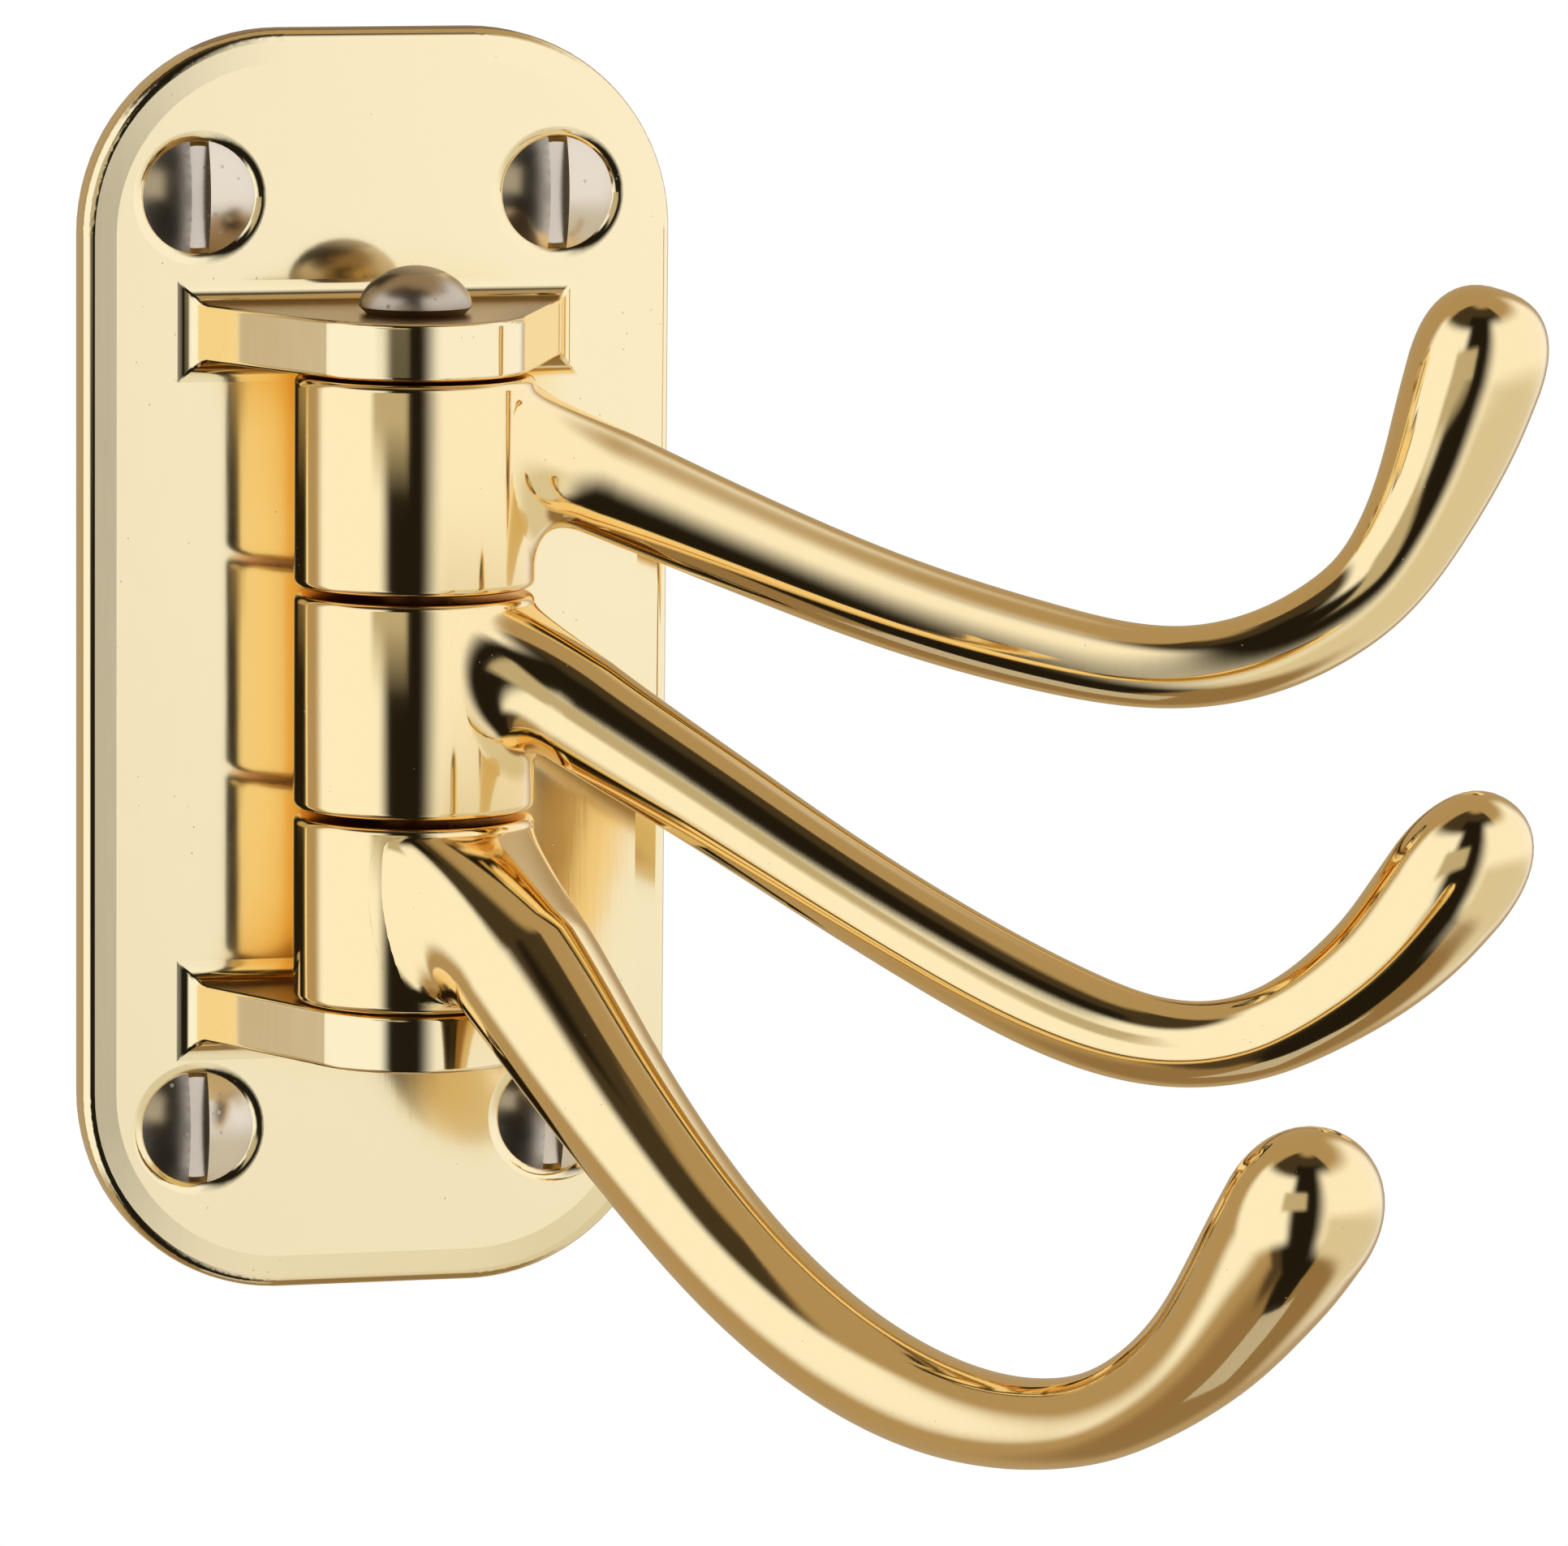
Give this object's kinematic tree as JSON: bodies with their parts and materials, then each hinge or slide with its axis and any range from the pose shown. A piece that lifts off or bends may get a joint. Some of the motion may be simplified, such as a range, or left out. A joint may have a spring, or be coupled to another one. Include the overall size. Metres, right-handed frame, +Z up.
{
  "type": "wall hook with swivelling arms",
  "caption": "Polished brass wall hook whose graduated arms swing on one upright pin between two lugs cast on a round-cornered screw-on plate.",
  "frame": {"origin": "middle of the back plate's wall face, which is the middle of its screw pattern", "axes": "+Y points into the wall, -Y to the room, +Z up, +X to the right seen from the room"},
  "size_m": [0.1028, 0.127, 0.0931],
  "materials": {
    "polished_brass": "polished, unlacquered",
    "brass_arms": "polished, with unpolished casting skin in the inner corners",
    "brass_screws": "polished heads with rough slots"
  },
  "bodies": {
    "bracket": {"back_plate": "polished_brass", "pivot_pin": "polished_brass", "mounting_screws": "brass_screws"},
    "top_arm": {"hook_top": "brass_arms"},
    "middle_arm": {"hook_middle": "brass_arms"},
    "bottom_arm": {"hook_bottom": "brass_arms"}
  },
  "joints": [
    {"name": "top_arm_swing", "type": "hinge", "parent": "bracket", "child": "top_arm", "pos_m": [0, -0.0141, 0.01445], "axis": [0, 0, 1], "range_deg": [-175, 13]},
    {"name": "middle_arm_swing", "type": "hinge", "parent": "bracket", "child": "middle_arm", "pos_m": [0, -0.0141, -0.00135], "axis": [0, 0, 1], "range_deg": [-145, 43]},
    {"name": "bottom_arm_swing", "type": "hinge", "parent": "bracket", "child": "bottom_arm", "pos_m": [0, -0.0141, -0.0163], "axis": [0, 0, 1], "range_deg": [-94, 46]}
  ]
}
